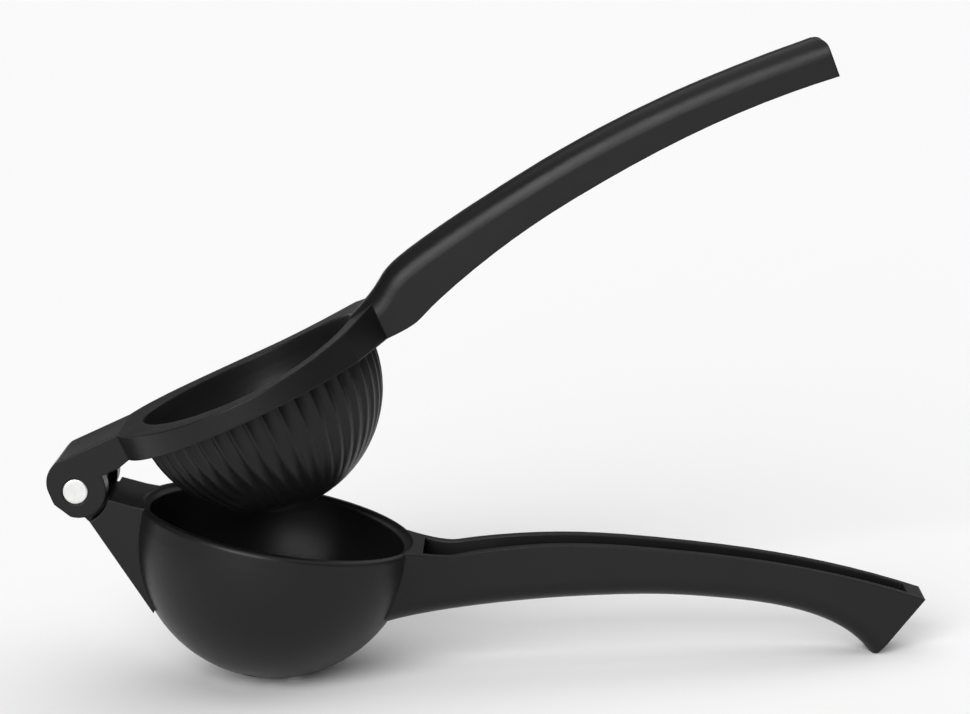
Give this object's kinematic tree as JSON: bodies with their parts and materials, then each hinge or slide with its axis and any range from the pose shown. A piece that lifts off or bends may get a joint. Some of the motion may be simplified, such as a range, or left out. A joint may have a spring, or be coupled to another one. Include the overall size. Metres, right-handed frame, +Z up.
{
  "type": "hinged lemon squeezer",
  "caption": "Hinged hand press for citrus halves: a round strainer bowl on one arm, a fluted hollow dome on the other, long channelled handles and a pinned hinge at the back.",
  "frame": {"origin": "the table under the bowl, where the bowl's round underside rests", "axes": "+X from the bowl towards the handles' ends, +Y across the handles, +Z up; the squeezer stands on the bowl and on the lower handle's hooked tip, with the press arm swung open"},
  "size_m": [0.2279, 0.077, 0.1628],
  "materials": {
    "coated_casting": "satin",
    "pin_steel": "satin"
  },
  "bodies": {
    "bowl_side": {"bowl_arm": "coated_casting"},
    "press_side": {"press_arm": "coated_casting", "hinge_pin": "pin_steel"}
  },
  "joints": [
    {"name": "press_hinge", "type": "hinge", "parent": "bowl_side", "child": "press_side", "pos_m": [-0.05002, 0, 0.05471], "axis": [0, -1, 0], "range_deg": [-36.1, 75]}
  ]
}
